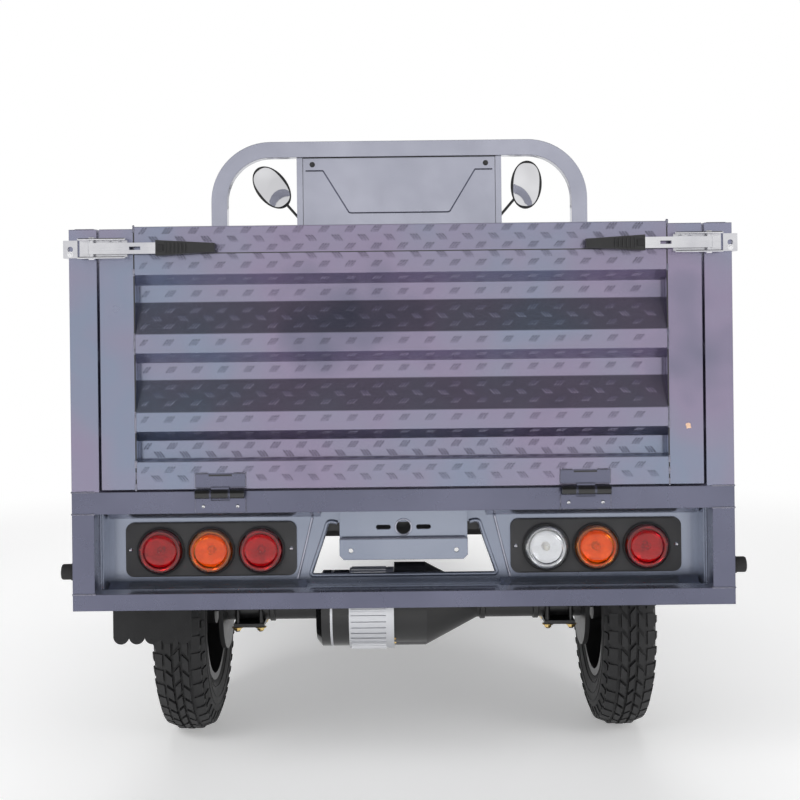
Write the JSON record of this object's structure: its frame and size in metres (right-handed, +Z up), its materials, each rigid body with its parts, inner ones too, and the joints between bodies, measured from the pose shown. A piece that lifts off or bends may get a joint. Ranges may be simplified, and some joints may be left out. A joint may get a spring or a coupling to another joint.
{
  "type": "electric cargo tricycle",
  "caption": "Open load-box cargo tricycle with a ribbed drop tailgate, over-centre latches, tail lamp panel, driver's seat with guard hoop, and a steered front wheel.",
  "frame": {"origin": "on the ground under the middle of the bounding box", "axes": "+Y forward, +X the vehicle's right seen from behind, +Z up"},
  "size_m": [1.246, 3.0086, 1.4988],
  "materials": {
    "body_paint": "gloss",
    "frame_paint": "gloss",
    "deck_paint": "satin",
    "zinc_steel": "satin",
    "black_plastic": "satin",
    "lamp_lens": "gloss",
    "black_rubber": "matte",
    "black_paint": "satin",
    "seat_vinyl": "satin",
    "motor_casing": "satin",
    "tyre_rubber": "matte"
  },
  "bodies": {
    "chassis": {"bed_frame": "frame_paint", "bed_floor": "deck_paint", "headboard": "body_paint", "hinge_lower_leaves": "frame_paint", "latch_keepers": "zinc_steel", "tail_panel": "frame_paint", "plate_bracket": "frame_paint", "tail_lamp_plates": "black_plastic", "tail_lamp_lenses": "lamp_lens", "mudflap_left": "black_rubber", "tie_down_pegs": "black_paint", "chassis_frame": "black_paint", "guard_hoop": "body_paint", "back_panel": "body_paint", "foot_floor": "deck_paint", "seat_box": "body_paint", "seat_cushion": "seat_vinyl", "backrest_cushion": "seat_vinyl", "leg_shield": "body_paint", "battery_box": "black_paint", "rear_axle": "black_paint", "drive_motor": "motor_casing", "leaf_springs": "black_paint", "spring_hangers": "black_paint", "side_wall_left": "body_paint", "side_wall_right": "body_paint"},
    "tailgate": {"tailgate_frame": "body_paint", "tailgate_panel": "body_paint", "hinge_upper_leaves": "frame_paint", "latch_bases": "zinc_steel"},
    "left_latch": {"latch_lever_left": "zinc_steel", "latch_grip_left": "black_plastic"},
    "right_latch": {"latch_lever_right": "zinc_steel", "latch_grip_right": "black_plastic"},
    "steering": {"front_fork": "black_paint", "handlebar": "black_paint", "handlebar_grips": "black_rubber", "headlamp": "black_plastic", "front_mudguard": "body_paint", "mirrors": "black_plastic"},
    "front_wheel": {"front_tyre": "tyre_rubber", "front_rim": "black_paint"},
    "rear_left_wheel": {"rear_left_tyre": "tyre_rubber", "rear_left_rim": "black_paint"},
    "rear_right_wheel": {"rear_right_tyre": "tyre_rubber", "rear_right_rim": "black_paint"}
  },
  "joints": [
    {"name": "tailgate_hinge", "type": "hinge", "parent": "chassis", "child": "tailgate", "pos_m": [0, -1.48729, 0.6], "axis": [1, 0, 0], "range_deg": [0, 178]},
    {"name": "left_latch_turn", "type": "hinge", "parent": "tailgate", "child": "left_latch", "pos_m": [-0.554, -1.49429, 1.044], "axis": [0, 0, -1], "range_deg": [0, 110]},
    {"name": "right_latch_turn", "type": "hinge", "parent": "tailgate", "child": "right_latch", "pos_m": [0.554, -1.49429, 1.044], "axis": [0, 0, 1], "range_deg": [0, 110]},
    {"name": "steering_turn", "type": "hinge", "parent": "chassis", "child": "steering", "pos_m": [0, 1.20845, 0.25416], "axis": [0, -0.4384, 0.8988], "range_deg": [-40, 40]},
    {"name": "front_wheel_spin", "type": "hinge", "parent": "steering", "child": "front_wheel", "pos_m": [0, 1.23271, 0.266], "axis": [1, 0, 0], "continuous": true},
    {"name": "rear_left_wheel_spin", "type": "hinge", "parent": "chassis", "child": "rear_left_wheel", "pos_m": [-0.471, -0.91729, 0.266], "axis": [1, 0, 0], "continuous": true},
    {"name": "rear_right_wheel_spin", "type": "hinge", "parent": "chassis", "child": "rear_right_wheel", "pos_m": [0.471, -0.91729, 0.266], "axis": [1, 0, 0], "continuous": true}
  ]
}
